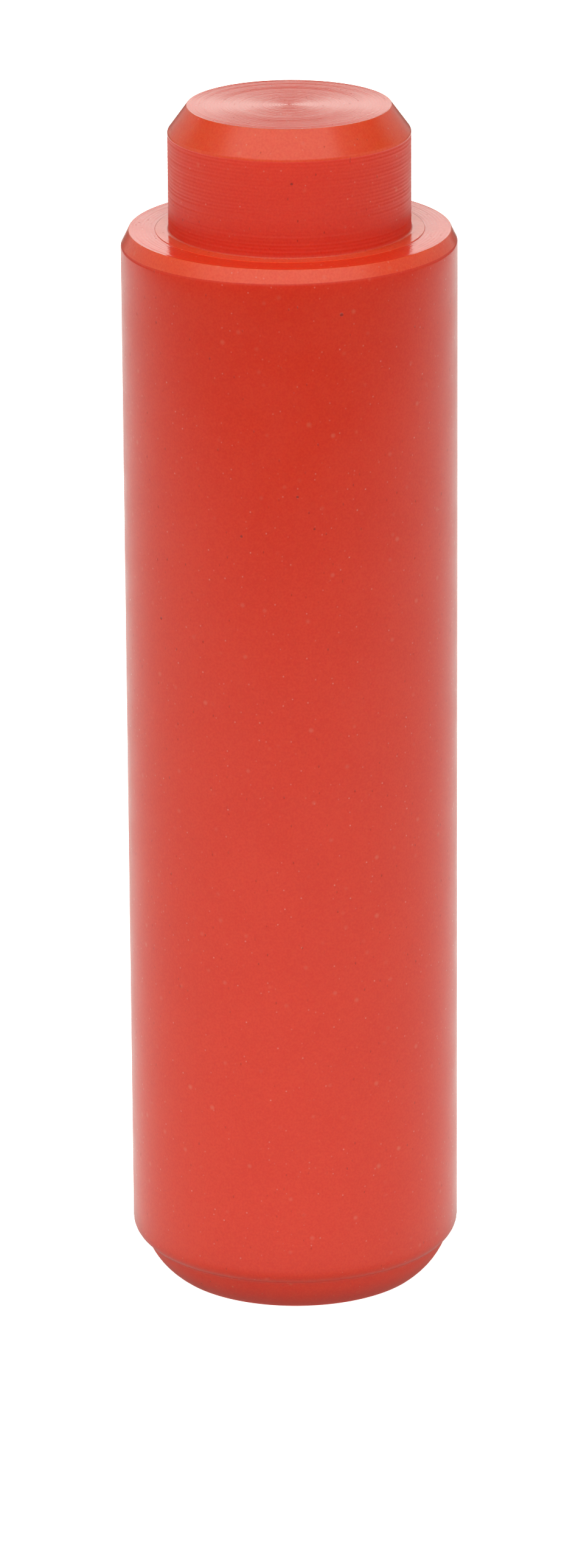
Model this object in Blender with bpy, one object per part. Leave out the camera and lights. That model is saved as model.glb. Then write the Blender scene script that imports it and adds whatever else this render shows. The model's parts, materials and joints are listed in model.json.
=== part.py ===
"""Stepped plug, turned in one piece from a bar of solid plastic.

It stands on its rounded foot with the narrower nose up. The turning axis is Z,
and the origin is the centre of the base face. Metres, +Z up.
"""

import math

import bmesh
import bpy
from mathutils import Vector

# Driving dimensions
LENGTH = 0.1397
BODY_DIAMETER = 0.0381
NOSE_DIAMETER = 0.0275
NOSE_LENGTH = 0.0143

# Chamfers: how far each one cuts in from the side, and how far along the axis
NOSE_CHAMFER = (0.0022, 0.0030)
SHOULDER_CHAMFER = (0.0008, 0.0016)
NOSE_ROOT_RADIUS = 0.0004

# The foot: the body's rounded lower edge runs into a cone, which meets the foot in a
# crease, and the foot curves in from there to the base face
BODY_EDGE_RADIUS = 0.0020
CONE_SLOPE = math.radians(40)
CREASE_RADIUS = 0.0178
CREASE_HEIGHT = 0.0040
FOOT_CURVE_RADIUS = 0.0081
BASE_FACE_RADIUS = 0.0149

# How finely round shapes are drawn
SIDES = 96
ARC_STEPS = 4

# Plastic
PLASTIC_COLOUR = (0.80, 0.055, 0.02, 1.0)
PLASTIC_ROUGHNESS = 0.3

BODY_RADIUS = BODY_DIAMETER / 2
NOSE_RADIUS = NOSE_DIAMETER / 2
SHOULDER_HEIGHT = LENGTH - NOSE_LENGTH


def clear_scene():
    for old in list(bpy.data.objects):
        bpy.data.objects.remove(old, do_unlink=True)


def plastic():
    material = bpy.data.materials.new("red_plastic")
    material.use_nodes = True
    shader = material.node_tree.nodes["Principled BSDF"]
    shader.inputs["Base Color"].default_value = PLASTIC_COLOUR
    shader.inputs["Roughness"].default_value = PLASTIC_ROUGHNESS
    shader.inputs["Metallic"].default_value = 0.0
    return material


def arc(centre, first, last):
    """Points from first to last, both as far from the centre, round the short way."""
    radius = (first - centre).length
    start = (first - centre).normalized()
    end = (last - centre).normalized()
    return [centre + start.slerp(end, step / ARC_STEPS) * radius for step in range(ARC_STEPS + 1)]


def rounded(before, corner, after, radius):
    """The arc that rounds a corner of the outline and meets both its sides smoothly."""
    to_before = (before - corner).normalized()
    to_after = (after - corner).normalized()
    half_angle = to_before.angle(to_after) / 2
    centre = corner + (to_before + to_after).normalized() * radius / math.sin(half_angle)
    setback = radius / math.tan(half_angle)
    return arc(centre, corner + to_before * setback, corner + to_after * setback)


def bulged(first, last, radius):
    """The arc of the given radius between two points of the outline, curving outwards."""
    half_chord = (last - first) / 2
    inward = Vector((half_chord.y, -half_chord.x)).normalized()
    depth = math.sqrt(radius**2 - half_chord.length_squared)
    return arc(first + half_chord + inward * depth, first, last)


def plug_outline():
    """Half of the lengthwise section, as (radius, height), from the nose's end face down."""
    nose_end = Vector((NOSE_RADIUS - NOSE_CHAMFER[0], LENGTH))
    nose_side = Vector((NOSE_RADIUS, LENGTH - NOSE_CHAMFER[1]))
    nose_root = Vector((NOSE_RADIUS, SHOULDER_HEIGHT))
    shoulder_edge = Vector((BODY_RADIUS - SHOULDER_CHAMFER[0], SHOULDER_HEIGHT))
    body_top = Vector((BODY_RADIUS, SHOULDER_HEIGHT - SHOULDER_CHAMFER[1]))
    crease = Vector((CREASE_RADIUS, CREASE_HEIGHT))
    cone_rise = (BODY_RADIUS - CREASE_RADIUS) * math.tan(CONE_SLOPE)
    body_foot = Vector((BODY_RADIUS, CREASE_HEIGHT + cone_rise))
    base_edge = Vector((BASE_FACE_RADIUS, 0))
    return [
        nose_end,
        nose_side,
        *rounded(nose_side, nose_root, shoulder_edge, NOSE_ROOT_RADIUS),
        shoulder_edge,
        body_top,
        *rounded(body_top, body_foot, crease, BODY_EDGE_RADIUS),
        *bulged(crease, base_edge, FOOT_CURVE_RADIUS),
    ]


def turned(name, outline, material):
    """A solid of revolution about Z, with flat faces over the outline's two ends."""
    solid = bmesh.new()
    corners = [solid.verts.new((point.x, 0, point.y)) for point in outline]
    edges = [solid.edges.new(pair) for pair in zip(corners, corners[1:])]
    bmesh.ops.spin(
        solid,
        geom=corners + edges,
        axis=(0, 0, 1),
        angle=2 * math.pi,
        steps=SIDES,
        use_merge=True,
    )
    bmesh.ops.holes_fill(solid, edges=solid.edges, sides=SIDES)
    bmesh.ops.recalc_face_normals(solid, faces=solid.faces)
    mesh = bpy.data.meshes.new(name)
    solid.to_mesh(mesh)
    solid.free()
    mesh.shade_smooth()
    mesh.set_sharp_from_angle(angle=math.radians(20))
    mesh.materials.append(material)
    node = bpy.data.objects.new(name, mesh)
    bpy.context.scene.collection.objects.link(node)


def main():
    clear_scene()
    turned("stepped_plug", plug_outline(), plastic())


main()
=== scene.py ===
"""Looks of a stepped plastic plug that was turned from round bar.

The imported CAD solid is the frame: it gives the length, the body's radius and the shoulder's
height. A finely turned mesh stands for it, with the spiral feed marks of the tool cut into
the turned faces. Metres, +Z up along the turning axis, and the front faces -Y.
"""

import json
import math

import bmesh
import bpy
import numpy as np
from mathutils import Matrix, Vector


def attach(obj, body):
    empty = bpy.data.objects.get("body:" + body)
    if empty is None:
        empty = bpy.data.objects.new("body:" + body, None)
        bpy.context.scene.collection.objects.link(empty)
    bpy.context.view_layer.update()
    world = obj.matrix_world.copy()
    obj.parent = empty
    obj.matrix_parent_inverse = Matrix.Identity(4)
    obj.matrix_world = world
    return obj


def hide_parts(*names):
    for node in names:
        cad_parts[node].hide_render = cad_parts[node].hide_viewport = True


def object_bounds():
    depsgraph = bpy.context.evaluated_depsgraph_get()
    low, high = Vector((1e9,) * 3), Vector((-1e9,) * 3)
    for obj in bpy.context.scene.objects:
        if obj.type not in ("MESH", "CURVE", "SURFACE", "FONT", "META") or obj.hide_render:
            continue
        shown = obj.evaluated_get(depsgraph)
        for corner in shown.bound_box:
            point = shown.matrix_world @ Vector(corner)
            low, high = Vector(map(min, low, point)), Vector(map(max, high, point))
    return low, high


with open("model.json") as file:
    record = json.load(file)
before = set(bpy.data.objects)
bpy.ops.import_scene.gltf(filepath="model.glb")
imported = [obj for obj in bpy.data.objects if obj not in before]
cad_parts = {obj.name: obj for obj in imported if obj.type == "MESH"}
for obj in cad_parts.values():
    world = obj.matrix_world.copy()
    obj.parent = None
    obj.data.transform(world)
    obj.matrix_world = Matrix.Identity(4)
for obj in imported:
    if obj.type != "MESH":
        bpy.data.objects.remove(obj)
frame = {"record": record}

CAD_LOW, CAD_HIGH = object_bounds()
MM = 0.001

# Driving sizes, from the frame
MOUNT_HEIGHTS = {mount["name"]: mount["pos_m"][2] for mount in frame["record"]["mounts"]}
LENGTH = CAD_HIGH.z
BODY_RADIUS = CAD_HIGH.x
SHOULDER_HEIGHT = MOUNT_HEIGHTS["shoulder"]

# Turned sizes
NOSE_RADIUS = 13.75 * MM
NOSE_CHAMFER = (2.2 * MM, 3.0 * MM)
SHOULDER_CHAMFER = (0.8 * MM, 1.6 * MM)
CREASE = (17.8 * MM, 4.0 * MM)
CONE_SLOPE = math.radians(40)
FOOT_CURVE_RADIUS = 8.1 * MM
FOOT_CURVE_STEPS = 8
BASE_FACE_RADIUS = 14.9 * MM

# The bar ran a little off the centre of the first turning, and the foot was cut in a second one
BODY_SHIFT = -0.09 * MM
FOOT_SHIFT = 0.12 * MM

# The first turning left a low step round the nose's root
STEP_RADIUS = 15.2 * MM
STEP_HEIGHT = 0.04 * MM

# Larger pits in the sides: azimuth, height and radius
PITS = (
    (17.4, 120.2 * MM, 0.28 * MM),
    (2.0, 99.4 * MM, 0.20 * MM),
    (7.7, 95.6 * MM, 0.16 * MM),
    (-17.2, 94.6 * MM, 0.20 * MM),
    (-50.9, 83.1 * MM, 0.22 * MM),
    (1.0, 134.0 * MM, 0.20 * MM),
)

# The radii that round the outline's corners, from the end face down to the base face
END_SOFTNESS = 0.10 * MM
NOSE_TOP_SOFTNESS = 0.60 * MM
ROOT_SOFTNESS = 0.15 * MM
SHOULDER_SOFTNESS = 0.12 * MM
BODY_TOP_SOFTNESS = 0.80 * MM
BODY_FOOT_SOFTNESS = 2.0 * MM
CREASE_SOFTNESS = 1.00 * MM
BASE_SOFTNESS = 0.15 * MM

# The mesh: points round each circle, and rows in a rounded corner, along the body and along the cone
COLUMNS = 144
ARC_ROWS = 4
BODY_ROWS = 60
CONE_ROWS = 4
WELD = 1e-7

# The finishes, each with its own material, and the feed marks of each turned stretch: the feed a turn,
# the rows in a turn, the depth, the unevenness, the seed of its chances and the finish
TURNED, FINE_TURNED, FACED, DRAWN = 0, 1, 2, 3
END_MARKS = (0.348 * MM, 4, 0.034 * MM, 0.4, 1, FACED)
NOSE_CHAMFER_MARKS = (0.22 * MM, 3, 0.003 * MM, 0.8, 2, FINE_TURNED)
NOSE_SIDE_MARKS = (0.42 * MM, 5, 0.030 * MM, 0.8, 3, TURNED)
STEP_MARKS = (0.16 * MM, 3, 0.005 * MM, 0.8, 4, FINE_TURNED)
SHOULDER_MARKS = (0.42 * MM, 4, 0.025 * MM, 0.7, 7, FACED)
SHOULDER_CHAMFER_MARKS = (0.22 * MM, 3, 0.003 * MM, 0.8, 5, FINE_TURNED)
BASE_MARKS = (0.50 * MM, 3, 0.010 * MM, 0.5, 6, FACED)

# Dots in the plastic: their spacing, their largest radius and how soft their edges are. The higher
# FAINTNESS is, the more of them are faint
BLOB_DOTS = (2.4 * MM, 0.42 * MM, 0.9)
POINT_DOTS = (0.95 * MM, 0.14 * MM, 0.8)
PIT_DOTS = (1.0 * MM, 0.12 * MM, 0.6)
FAINTNESS = 1.5

# The scales of x, y and z in a pattern. A scale below 1 makes the pattern longer that way
POINT_SCALE = (1.03, 0.97, 1.0)
PIT_SCALE = (1.0, 1.0, 0.55)
DRAWN_SCALE = (1, 1, 0.02)

# The colours that the dots mix in, and how much of them. The dark pit colour is painted shade in the
# pits' hollows
BLOB_COLOUR = (0.92, 0.30, 0.18, 1)
BLOB_AMOUNT = 0.30
POINT_COLOUR = (0.95, 0.45, 0.32, 1)
POINT_AMOUNT = 0.45
PIT_SHADE_COLOUR = (0.30, 0.015, 0.01, 1)
PIT_SHADE_AMOUNT = 0.45

# A pit's depth, how strong a larger pit is, and the share of its radius that is as deep as it goes
PIT_DEPTH = 0.04 * MM
LARGE_PIT_STRENGTH = 1.6
LARGE_PIT_BOTTOM = 0.4

# The colour is uneven at three scales, each with its size, its detail and its share of the whole.
# Over UNEVEN_RANGE, red, green and blue go from DEEP to PALE times the finish's own
CLOUD = (9 * MM, 3, 0.22)
MOTTLE = (0.9 * MM, 3, 0.13)
GRAIN = (0.24 * MM, 2, 0.65)
UNEVEN_RANGE = (0.34, 0.66)
DEEP = (0.97, 0.84, 0.87)
PALE = (1.03, 1.18, 1.16)

# Duller and glossier patches: their size and detail, and how far the roughness goes either way
PATCHES = (5 * MM, 4)
PATCH_RANGE = (0.35, 0.65)
PATCH_ROUGHNESS = 0.03

# The fine lines: the size, detail and roughness of each kind, and how much, and over what distance,
# the turned ones change along their length
DRAWN_LINES = (0.25 * MM, 3, 0.6)
TURNED_LINES = (0.10 * MM, 3, 0.7)
LINE_CHANGE = 0.15 * MM
LINE_CHANGE_NOISE = (12 * MM, 1)

# How light bends and spreads in the plastic. Red goes furthest
REFRACTION = 1.5
GLOW_RADIUS = (1.0, 0.25, 0.1)
GLOW_SCALE = 3.0 * MM

# The light all round: its colour, its strength and the parts of the sky that are brighter or darker.
# Each part has an azimuth (0 in front, 90 towards +X) with the angles from it where it starts to
# fade and is gone, the elevations where it starts, is full, starts to fade and is gone, and what it adds
LIGHT_COLOUR = (1.00, 1.03, 0.97)
SKY = 0.49
SKY_PARTS = (
    (-8, (58, 82), (20, 40), (100, 110), 1.12),
    (180, (5, 20), (7, 12), (17, 25), 1.15),
    (175, (65, 110), (18, 32), (45, 60), -0.42),
)

# The floor that the camera sees
FLOOR_COLOUR = (0.92, 0.90, 0.86, 1)
FLOOR_GLOW = 1.30
FLOOR_ROUGHNESS = 0.9
FLOOR_HALF_WIDTH = 4.0

# The pool of light on the floor, as the plug sees it: its height, its centre, where it starts to fade
# and where it has faded, how bright it is and how much of that is left outside it and under the foot
POOL_HEIGHT = 0.02 * MM
POOL_CENTRE = (0, 0.20, 0)
POOL_FADE = (0.45, 0.55)
POOL = 0.98
SURROUND = 0.20
SHADE_FADE = (16 * MM, 34 * MM)
SHADE = 0.35

# The camera: the angles in degrees that it looks down, turns to +X and leans, and its lens in mm
CAMERA_PLACE = (0, -0.84572, 0.34815)
CAMERA_PITCH = 18.8718
CAMERA_YAW = -0.0108
CAMERA_ROLL = -0.3699
CAMERA_LENS = 177.47
SENSOR_WIDTH = 36
NEAREST = 0.01


# ---------------------------------------------------------------- the turned mesh

def station(radius, height, shift=0.0, tilt=0.0):
    """A circle of the turned surface: its centre's sideways shift, and its plane's rise along X."""
    return np.array([radius, height, shift, tilt])


def softened(before, corner, after, softness):
    """The arc of circles that rounds a corner of the outline with the given radius."""
    place = Vector(corner[:2])
    to_before = (Vector(before[:2]) - place).normalized()
    to_after = (Vector(after[:2]) - place).normalized()
    half_angle = to_before.angle(to_after) / 2
    centre = place + (to_before + to_after).normalized() * softness / math.sin(half_angle)
    setback = softness / math.tan(half_angle)
    first = (place + to_before * setback - centre).normalized()
    last = (place + to_after * setback - centre).normalized()
    arc = [centre + first.slerp(last, step / ARC_ROWS) * softness for step in range(ARC_ROWS + 1)]
    return [station(point.x, point.y, corner[2], corner[3]) for point in arc]


def foot_curve(crease, base_edge):
    """The circles between the crease and the base edge, along an arc that bulges outwards."""
    first, last = Vector(crease[:2]), Vector(base_edge[:2])
    half_chord = (last - first) / 2
    inward = Vector((half_chord.y, -half_chord.x)).normalized()
    centre = first + half_chord + inward * math.sqrt(FOOT_CURVE_RADIUS**2 - half_chord.length_squared)
    from_first, from_last = (first - centre).normalized(), (last - centre).normalized()
    circles = []
    for step in range(1, FOOT_CURVE_STEPS):
        share = step / FOOT_CURVE_STEPS
        point = centre + from_first.slerp(from_last, share) * FOOT_CURVE_RADIUS
        shift_and_tilt = crease[2:] + (base_edge[2:] - crease[2:]) * share
        circles.append(station(point.x, point.y, *shift_and_tilt))
    return circles


def add_rows(mesh, rows, turn_step=0, finish=TURNED):
    """Joins each row of points to the next. Rows that wind join up with the row turn_step on."""
    verts = [[mesh.verts.new(point) for point in row] for row in rows]
    for i in range(len(verts) - 1):
        for j in range(COLUMNS):
            k = (j + 1) % COLUMNS
            step = turn_step if k == 0 else 0
            if i + step + 1 < len(verts):
                corners = (verts[i][j], verts[i + 1][j], verts[i + 1 + step][k], verts[i + step][k])
                mesh.faces.new(corners).material_index = finish


def ring_points(stations, heights=0.0, normal=(0.0, 0.0)):
    """Points round the axis, one for each column's station, raised along the outline's normal."""
    angles = np.arange(COLUMNS) * 2 * math.pi / COLUMNS
    radius = stations[..., 0] + heights * normal[0]
    across = radius * np.cos(angles)
    x = stations[..., 2] + across
    y = radius * np.sin(angles)
    z = stations[..., 1] + stations[..., 3] * across + heights * normal[1]
    return np.stack(np.broadcast_arrays(x, y, z), axis=-1)


def plain_stretch(mesh, first, last, rows):
    """A smooth stretch from one circle to another."""
    shares = np.linspace(0, 1, rows + 1)
    add_rows(mesh, [ring_points(first + (last - first) * share) for share in shares], finish=DRAWN)


def cut_stretch(mesh, first, last, marks):
    """A stretch with a tool's spiral marks: each turn leaves a shallow hollow between two ridges."""
    pitch, lanes, depth, unevenness, seed, finish = marks
    length = np.linalg.norm((last - first)[:2])
    along = (last - first)[:2] / length
    normal = (-along[1], along[0])
    spacing = pitch / lanes
    turns = np.arange(-1, int(length / pitch) + 4)
    rng = np.random.default_rng(seed)
    amounts = rng.uniform(1 - unevenness, 1, len(turns))
    drifts = rng.uniform(-unevenness, 0, len(turns))
    rows = []
    for i in range(-lanes, math.ceil(length / spacing) + 1):
        lane = (i % lanes) / lanes
        turn = i / lanes + np.arange(COLUMNS) / COLUMNS
        distance = np.clip(turn * pitch, 0, length)
        hollow = 1 - (2 * lane - 1) ** 2
        amount = np.interp(turn, turns, amounts)
        drift = np.interp(turn, turns, drifts)
        fade = np.clip(np.minimum(distance, length - distance) / spacing, 0, 1)
        heights = fade * depth * (drift - hollow * amount)
        share = (distance / length)[:, None]
        rows.append(ring_points(first + (last - first) * share, heights, normal))
    add_rows(mesh, rows, turn_step=lanes, finish=finish)


def add_circles(mesh, circles, finish):
    """Joins each circle to the next."""
    add_rows(mesh, [ring_points(circle) for circle in circles], finish=finish)


def plug_mesh():
    """The whole plug as one closed mesh, built from the outline's stretches and rounded corners."""
    chamfer_slope = SHOULDER_CHAMFER[1] / SHOULDER_CHAMFER[0]
    cone_rise = (BODY_RADIUS - CREASE[0]) * math.tan(CONE_SLOPE)
    top_tilt = -chamfer_slope * BODY_SHIFT / BODY_RADIUS
    crease_tilt = math.tan(CONE_SLOPE) * (FOOT_SHIFT - BODY_SHIFT) / CREASE[0]
    end_centre = station(0, LENGTH)
    nose_end = station(NOSE_RADIUS - NOSE_CHAMFER[0], LENGTH)
    nose_top = station(NOSE_RADIUS, LENGTH - NOSE_CHAMFER[1])
    nose_root = station(NOSE_RADIUS, SHOULDER_HEIGHT + STEP_HEIGHT)
    step_top = station(STEP_RADIUS, SHOULDER_HEIGHT + STEP_HEIGHT)
    step_foot = station(STEP_RADIUS + STEP_HEIGHT, SHOULDER_HEIGHT)
    shoulder = station(BODY_RADIUS - SHOULDER_CHAMFER[0], SHOULDER_HEIGHT)
    body_top = station(BODY_RADIUS, SHOULDER_HEIGHT - SHOULDER_CHAMFER[1], BODY_SHIFT, top_tilt)
    body_foot = station(BODY_RADIUS, CREASE[1] + cone_rise, BODY_SHIFT)
    crease = station(*CREASE, FOOT_SHIFT, crease_tilt)
    base_edge = station(BASE_FACE_RADIUS, 0, FOOT_SHIFT)
    base_centre = station(0, 0)

    foot = foot_curve(crease, base_edge)
    end_arc = softened(end_centre, nose_end, nose_top, END_SOFTNESS)
    nose_arc = softened(nose_end, nose_top, nose_root, NOSE_TOP_SOFTNESS)
    root_arc = softened(nose_top, nose_root, step_top, ROOT_SOFTNESS)
    shoulder_arc = softened(nose_root, shoulder, body_top, SHOULDER_SOFTNESS)
    top_arc = softened(shoulder, body_top, body_foot, BODY_TOP_SOFTNESS)
    foot_arc = softened(body_top, body_foot, crease, BODY_FOOT_SOFTNESS)
    crease_arc = softened(body_foot, crease, foot[0], CREASE_SOFTNESS)
    base_arc = softened(foot[-1], base_edge, base_centre, BASE_SOFTNESS)

    mesh = bmesh.new()
    cut_stretch(mesh, end_centre, end_arc[0], END_MARKS)
    cut_stretch(mesh, end_arc[-1], nose_arc[0], NOSE_CHAMFER_MARKS)
    cut_stretch(mesh, nose_arc[-1], root_arc[0], NOSE_SIDE_MARKS)
    cut_stretch(mesh, root_arc[-1], step_top, STEP_MARKS)
    add_circles(mesh, [step_top, step_foot], FINE_TURNED)
    cut_stretch(mesh, step_foot, shoulder_arc[0], SHOULDER_MARKS)
    cut_stretch(mesh, shoulder_arc[-1], top_arc[0], SHOULDER_CHAMFER_MARKS)
    plain_stretch(mesh, top_arc[-1], foot_arc[0], BODY_ROWS)
    plain_stretch(mesh, foot_arc[-1], crease_arc[0], CONE_ROWS)
    add_circles(mesh, [crease_arc[-1], *foot, base_arc[0]], TURNED)
    cut_stretch(mesh, base_arc[-1], base_centre, BASE_MARKS)
    for arc in (end_arc, nose_arc, root_arc, shoulder_arc):
        add_circles(mesh, arc, FINE_TURNED)
    for arc in (top_arc, foot_arc, base_arc):
        add_circles(mesh, arc, DRAWN)
    add_circles(mesh, crease_arc, TURNED)
    bmesh.ops.remove_doubles(mesh, verts=mesh.verts, dist=WELD)
    bmesh.ops.recalc_face_normals(mesh, faces=mesh.faces)
    data = bpy.data.meshes.new("turned_plug")
    mesh.to_mesh(data)
    mesh.free()
    data.shade_smooth()
    return data


# ---------------------------------------------------------------- plastic

class Nodes:
    """Short names for the shader nodes that the materials and the sky are made of."""

    def __init__(self, owner):
        self.tree = owner.node_tree

    def add(self, kind, settings=None, **inputs):
        """A node with the given settings and inputs, named with _ for each space."""
        node = self.tree.nodes.new(kind)
        for name, value in (settings or {}).items():
            setattr(node, name, value)
        for name, value in inputs.items():
            self.feed(node.inputs[name.replace("_", " ")], value)
        return node

    def feed(self, socket, value):
        if isinstance(value, bpy.types.NodeSocket):
            self.tree.links.new(value, socket)
        else:
            socket.default_value = value

    def math(self, operation, first, second=0.0):
        node = self.tree.nodes.new("ShaderNodeMath")
        node.operation = operation
        self.feed(node.inputs[0], first)
        self.feed(node.inputs[1], second)
        return node.outputs[0]

    def vectors(self, operation, output, first, second=(0, 0, 0)):
        """The Vector or the Value that an operation on vectors gives."""
        node = self.add("ShaderNodeVectorMath", {"operation": operation})
        self.feed(node.inputs[0], first)
        self.feed(node.inputs[1], second)
        return node.outputs[output]

    def ramp(self, value, low, high, to_low=0.0, to_high=1.0):
        """value eased from low..high to to_low..to_high, and held there beyond them."""
        node = self.add("ShaderNodeMapRange", {"interpolation_type": "SMOOTHSTEP"}, Value=value)
        ends = {"From Min": low, "From Max": high, "To Min": to_low, "To Max": to_high}
        for name, number in ends.items():
            node.inputs[name].default_value = number
        return node.outputs["Result"]

    def noise(self, place, size, detail=2.0, roughness=0.5):
        """Noise whose blotches are about size across."""
        node = self.add("ShaderNodeTexNoise", Vector=place, Detail=detail, Roughness=roughness)
        node.inputs["Scale"].default_value = 1 / size
        return node.outputs["Fac"]

    def dots(self, place, spacing, radius, softness):
        """Scattered round dots of up to the given radius, each with its own strength up to 1."""
        node = self.add("ShaderNodeTexVoronoi", Vector=place)
        node.inputs["Scale"].default_value = 1 / spacing
        reach = radius / spacing
        dot = self.ramp(node.outputs["Distance"], reach * (1 - softness), reach, 1.0, 0.0)
        chance = self.add("ShaderNodeSeparateColor", Color=node.outputs["Color"]).outputs["Red"]
        return self.math("MULTIPLY", dot, self.math("POWER", chance, FAINTNESS))

    def mixed(self, amount, first, second):
        """The first colour with the given amount of the second mixed in."""
        node = self.add("ShaderNodeMix", {"data_type": "RGBA"})
        self.feed(node.inputs["Factor"], amount)
        self.feed(node.inputs["A"], first)
        self.feed(node.inputs["B"], second)
        return node.outputs["Result"]


def stretched(nodes, place, scale):
    """The place to look a pattern up at, so that the pattern is stretched."""
    return nodes.add("ShaderNodeMapping", Vector=place, Scale=scale).outputs["Vector"]


def all_pits(nodes, place):
    """The scattered small pits and the larger ones at their places."""
    pits = nodes.dots(stretched(nodes, place, PIT_SCALE), *PIT_DOTS)
    for azimuth, height, radius in PITS:
        side = NOSE_RADIUS if height > SHOULDER_HEIGHT else BODY_RADIUS
        centre = direction(azimuth) * side + Vector((0, 0, height))
        distance = nodes.vectors("DISTANCE", "Value", place, centre)
        pit = nodes.ramp(distance, radius * LARGE_PIT_BOTTOM, radius, LARGE_PIT_STRENGTH, 0.0)
        pits = nodes.math("MAXIMUM", pits, pit)
    return pits


def plastic_colour(nodes, place, colour, grain, pits):
    """The colour, uneven at three scales, with pale blobs and points in it, and painted shade in the
    pits.
    """
    cloud = nodes.math("MULTIPLY", nodes.noise(place, *CLOUD[:2]), CLOUD[2])
    mottle = nodes.math("MULTIPLY", nodes.noise(place, *MOTTLE[:2]), MOTTLE[2])
    shade = nodes.math("ADD", cloud, mottle)
    shade = nodes.math("ADD", shade, nodes.math("MULTIPLY", grain, GRAIN[2]))
    deep = tuple(channel * share for channel, share in zip(colour, DEEP))
    pale = tuple(channel * share for channel, share in zip(colour, PALE))
    mix = nodes.mixed(nodes.ramp(shade, *UNEVEN_RANGE), (*deep, 1), (*pale, 1))
    blobs = nodes.dots(place, *BLOB_DOTS)
    points = nodes.dots(stretched(nodes, place, POINT_SCALE), *POINT_DOTS)
    mix = nodes.mixed(nodes.math("MULTIPLY", blobs, BLOB_AMOUNT), mix, BLOB_COLOUR)
    mix = nodes.mixed(nodes.math("MULTIPLY", points, POINT_AMOUNT), mix, POINT_COLOUR)
    # The pits' dark colour is painted shade in their hollows
    return nodes.mixed(nodes.math("MULTIPLY", pits, PIT_SHADE_AMOUNT), mix, PIT_SHADE_COLOUR)


def surface_relief(nodes, grain, lines, pits, grain_depth, line_depth):
    """The normal of a surface with fine grain, fine lines and pits in it."""
    height = nodes.math("MULTIPLY", grain, grain_depth)
    height = nodes.math("ADD", height, nodes.math("MULTIPLY", lines, line_depth))
    height = nodes.math("SUBTRACT", height, nodes.math("MULTIPLY", pits, PIT_DEPTH))
    bump = nodes.add("ShaderNodeBump", Height=height)
    bump.inputs["Distance"].default_value = 1.0
    bump.inputs["Strength"].default_value = 1.0
    return bump.outputs["Normal"]


def plastic(name, colour, roughness, streaks, line_depth, grain_depth):
    """Orange-red plastic with pale specks in it, small pits, and tool or drawing lines."""
    material = bpy.data.materials.new(name)
    material.use_nodes = True
    nodes = Nodes(material)
    shader = material.node_tree.nodes["Principled BSDF"]
    place = nodes.add("ShaderNodeTexCoord").outputs["Object"]
    grain = nodes.noise(place, *GRAIN[:2])
    pits = all_pits(nodes, place)
    lines = streaks(nodes, place)
    nodes.feed(shader.inputs["Base Color"], plastic_colour(nodes, place, colour, grain, pits))
    normal = surface_relief(nodes, grain, lines, pits, grain_depth, line_depth)
    nodes.feed(shader.inputs["Normal"], normal)
    patches = nodes.noise(place, *PATCHES)
    ends = (roughness - PATCH_ROUGHNESS, roughness + PATCH_ROUGHNESS)
    nodes.feed(shader.inputs["Roughness"], nodes.ramp(patches, *PATCH_RANGE, *ends))
    shader.inputs["IOR"].default_value = REFRACTION
    shader.inputs["Subsurface Weight"].default_value = 1.0
    shader.inputs["Subsurface Radius"].default_value = GLOW_RADIUS
    shader.inputs["Subsurface Scale"].default_value = GLOW_SCALE
    return material


def drawn_streaks(nodes, place):
    """Fine lines along the bar."""
    return nodes.noise(stretched(nodes, place, DRAWN_SCALE), *DRAWN_LINES)


def turned_streaks(nodes, place):
    """Fine lines round the axis, on faces and on sides alike: they follow radius and height."""
    flat = nodes.vectors("MULTIPLY", "Vector", place, (1, 1, 0))
    radius = nodes.vectors("LENGTH", "Value", flat)
    height = nodes.add("ShaderNodeSeparateXYZ", Vector=place).outputs["Z"]
    change = nodes.math("MULTIPLY", nodes.noise(place, *LINE_CHANGE_NOISE), LINE_CHANGE)
    line_place = nodes.add("ShaderNodeCombineXYZ", X=radius, Y=height, Z=change).outputs["Vector"]
    return nodes.noise(line_place, *TURNED_LINES)


# In the order of TURNED to DRAWN: name, colour, roughness, fine lines, their depth and the grain's
# Each finish's colour is the plastic's own red tuned with the light to the shading of its faces, so the
# differences between them are partly painted light. The paler fine-turned colour is painted highlight on
# the chamfers, the step and the rounded edges, and the deeper drawn colour is painted shade on the body.
FINISHES = (
    ("red_plastic_turned", (0.890, 0.051, 0.019), 0.44, turned_streaks, 0.002 * MM, 0.0015 * MM),
    ("red_plastic_fine_turned", (0.930, 0.094, 0.032), 0.15, turned_streaks, 0.003 * MM, 0.001 * MM),
    ("red_plastic_faced", (0.870, 0.052, 0.013), 0.12, turned_streaks, 0.002 * MM, 0.001 * MM),
    ("red_plastic_drawn", (0.790, 0.0415, 0.0115), 0.24, drawn_streaks, 0.0015 * MM, 0.006 * MM),
)


# ---------------------------------------------------------------- floor, light and camera

def flat_square(name, height):
    """A wide level square, centred under the plug."""
    mesh = bmesh.new()
    bmesh.ops.create_grid(mesh, x_segments=1, y_segments=1, size=FLOOR_HALF_WIDTH)
    data = bpy.data.meshes.new(name)
    mesh.to_mesh(data)
    mesh.free()
    square = bpy.data.objects.new(name, data)
    square.location.z = height
    bpy.context.scene.collection.objects.link(square)
    return square


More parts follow.
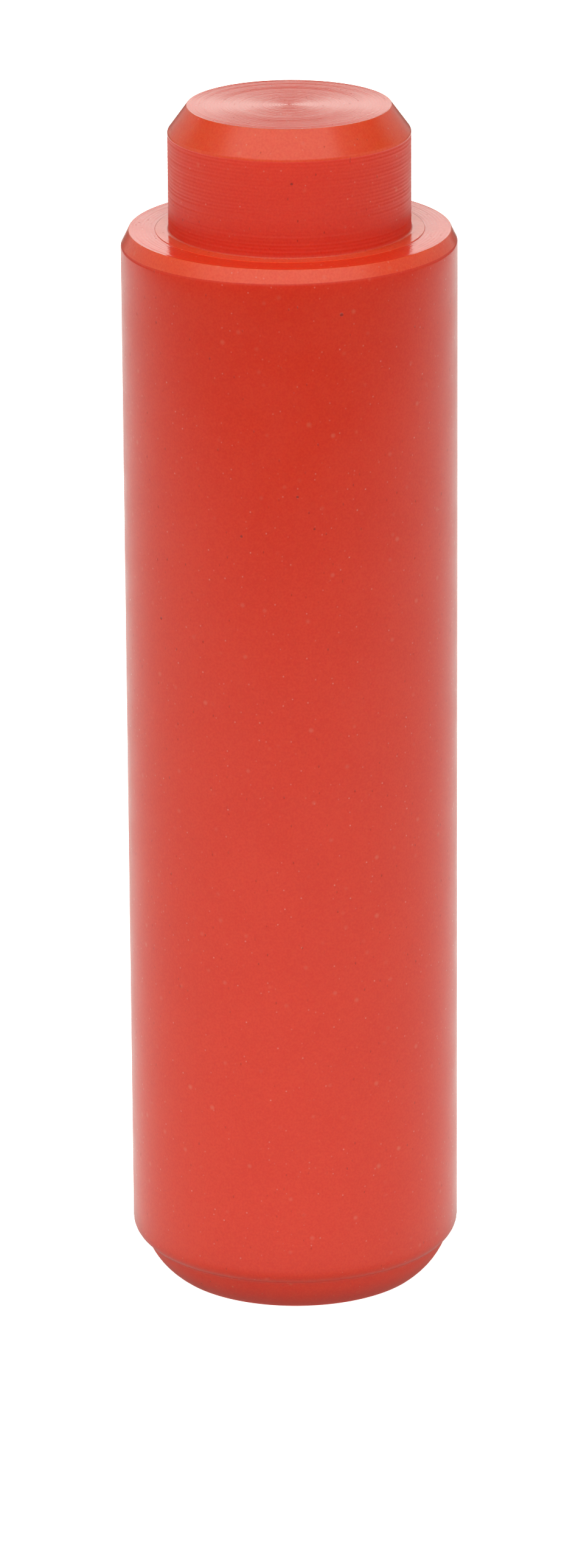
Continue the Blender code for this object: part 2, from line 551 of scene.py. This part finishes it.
def add_floor():
    """A white floor. It lights nothing, because the light pool stands for it there."""
    floor = flat_square("floor", 0)
    material = bpy.data.materials.new("floor")
    material.use_nodes = True
    shader = material.node_tree.nodes["Principled BSDF"]
    shader.inputs["Base Color"].default_value = FLOOR_COLOUR
    shader.inputs["Roughness"].default_value = FLOOR_ROUGHNESS
    shader.inputs["Emission Color"].default_value = FLOOR_COLOUR
    shader.inputs["Emission Strength"].default_value = FLOOR_GLOW
    floor.data.materials.append(material)
    floor.visible_diffuse = False
    floor.visible_glossy = False


def direction(azimuth, elevation=0.0):
    """The way from the plug: azimuth 0 is to the front, 90 is to +X, and elevation is upwards."""
    turn, rise = math.radians(azimuth), math.radians(elevation)
    return Vector((math.sin(turn) * math.cos(rise), -math.cos(turn) * math.cos(rise), math.sin(rise)))


def add_sky():
    """A broad light over the front, a bright band low behind, and pale light from all round."""
    world = bpy.data.worlds.new("studio")
    world.use_nodes = True
    nodes = Nodes(world)
    nodes.tree.nodes.clear()
    way = nodes.add("ShaderNodeTexCoord").outputs["Generated"]
    elevation = nodes.math("ARCSINE", nodes.add("ShaderNodeSeparateXYZ", Vector=way).outputs["Z"])
    level = nodes.vectors("NORMALIZE", "Vector", nodes.vectors("MULTIPLY", "Vector", way, (1, 1, 0)))
    sky = SKY
    for azimuth, sides, rise, fall, amount in SKY_PARTS:
        cosine = nodes.vectors("DOT_PRODUCT", "Value", level, direction(azimuth))
        part = nodes.ramp(nodes.math("ARCCOSINE", cosine), *np.radians(sides), amount, 0.0)
        part = nodes.math("MULTIPLY", part, nodes.ramp(elevation, *np.radians(rise)))
        part = nodes.math("MULTIPLY", part, nodes.ramp(elevation, *np.radians(fall), 1.0, 0.0))
        sky = nodes.math("ADD", sky, part)
    background = nodes.add("ShaderNodeBackground", Color=(*LIGHT_COLOUR, 1), Strength=sky)
    nodes.add("ShaderNodeOutputWorld", Surface=background.outputs["Background"])
    bpy.context.scene.world = world


def add_light_pool():
    """The floor as the plug sees it: bright round the plug, dim further off and under the foot.

    The camera doesn't see it, and it shines upwards only.
    """
    pool = flat_square("light_pool", POOL_HEIGHT)
    pool.visible_camera = False
    material = bpy.data.materials.new("light_pool")
    material.use_nodes = True
    nodes = Nodes(material)
    nodes.tree.nodes.clear()
    place = nodes.add("ShaderNodeTexCoord").outputs["Object"]
    from_centre = nodes.vectors("DISTANCE", "Value", place, POOL_CENTRE)
    from_plug = nodes.vectors("LENGTH", "Value", place)
    bright = nodes.ramp(from_centre, *POOL_FADE, 1.0, SURROUND)
    shade = nodes.ramp(from_plug, *SHADE_FADE, POOL * SHADE, POOL)
    strength = nodes.math("MULTIPLY", bright, shade)
    glow = nodes.add("ShaderNodeEmission", Color=(*LIGHT_COLOUR, 1), Strength=strength)
    clear = nodes.add("ShaderNodeBsdfTransparent")
    side = nodes.add("ShaderNodeNewGeometry").outputs["Backfacing"]
    both = nodes.add("ShaderNodeMixShader")
    nodes.feed(both.inputs[0], side)
    nodes.feed(both.inputs[1], glow.outputs["Emission"])
    nodes.feed(both.inputs[2], clear.outputs["BSDF"])
    nodes.add("ShaderNodeOutputMaterial", Surface=both.outputs["Shader"])
    pool.data.materials.append(material)


def add_camera():
    """The camera looks down on the plug, and leans a little clockwise."""
    data = bpy.data.cameras.new("camera")
    data.sensor_width = SENSOR_WIDTH
    data.lens = CAMERA_LENS
    data.clip_start = NEAREST
    camera = bpy.data.objects.new("camera", data)
    ahead = direction(180 - CAMERA_YAW, -CAMERA_PITCH)
    right = ahead.cross(Vector((0, 0, 1))).normalized()
    up = right.cross(ahead)
    roll = math.radians(CAMERA_ROLL)
    leaning_right = math.cos(roll) * right + math.sin(roll) * up
    leaning_up = math.cos(roll) * up - math.sin(roll) * right
    turn = Matrix((leaning_right, leaning_up, -ahead)).transposed().to_4x4()
    camera.matrix_world = Matrix.Translation(CAMERA_PLACE) @ turn
    bpy.context.scene.collection.objects.link(camera)
    bpy.context.scene.camera = camera


def main():
    plug = bpy.data.objects.new("turned_plug", plug_mesh())
    bpy.context.scene.collection.objects.link(plug)
    for finish in FINISHES:
        plug.data.materials.append(plastic(*finish))
    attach(plug, "root")
    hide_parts("stepped_plug")
    add_floor()
    add_light_pool()
    add_sky()
    add_camera()
    bpy.context.scene.view_settings.view_transform = "Standard"


main()
